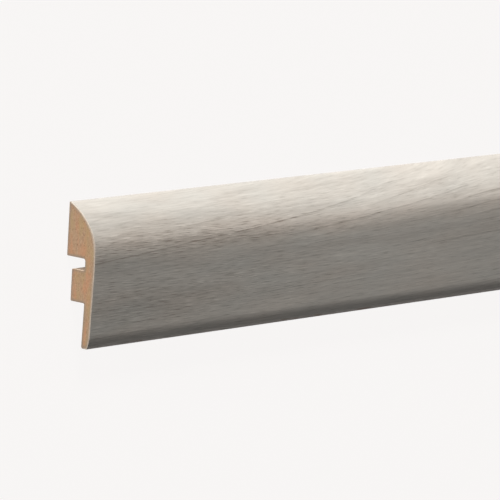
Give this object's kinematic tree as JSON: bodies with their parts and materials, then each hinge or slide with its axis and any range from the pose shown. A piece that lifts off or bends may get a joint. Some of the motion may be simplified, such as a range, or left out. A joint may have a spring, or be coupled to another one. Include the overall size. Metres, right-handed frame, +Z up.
{
  "type": "skirting board length",
  "caption": "Foil-wrapped MDF skirting board length with a rounded top, pale oak decor and a clip groove in the back.",
  "frame": {"origin": "centre of the bounding box in X and Y, on the floor that the length rests on (Z = 0)", "axes": "+X along the length, with the sawn end that the picture shows at -X; +Y from the bottom edge towards the top edge; +Z up out of the decorated face. The length lies face up as it comes to rest on the tongue and the groove's upper edge, so its section is turned about +X by 9.81 degrees from square."},
  "size_m": [2.4, 0.0614, 0.0163],
  "materials": {
    "mdf": "matte",
    "pale_oak_foil": "satin"
  },
  "bodies": {
    "root": {"mdf_core": "mdf", "decor_foil": "pale_oak_foil"}
  },
  "joints": []
}
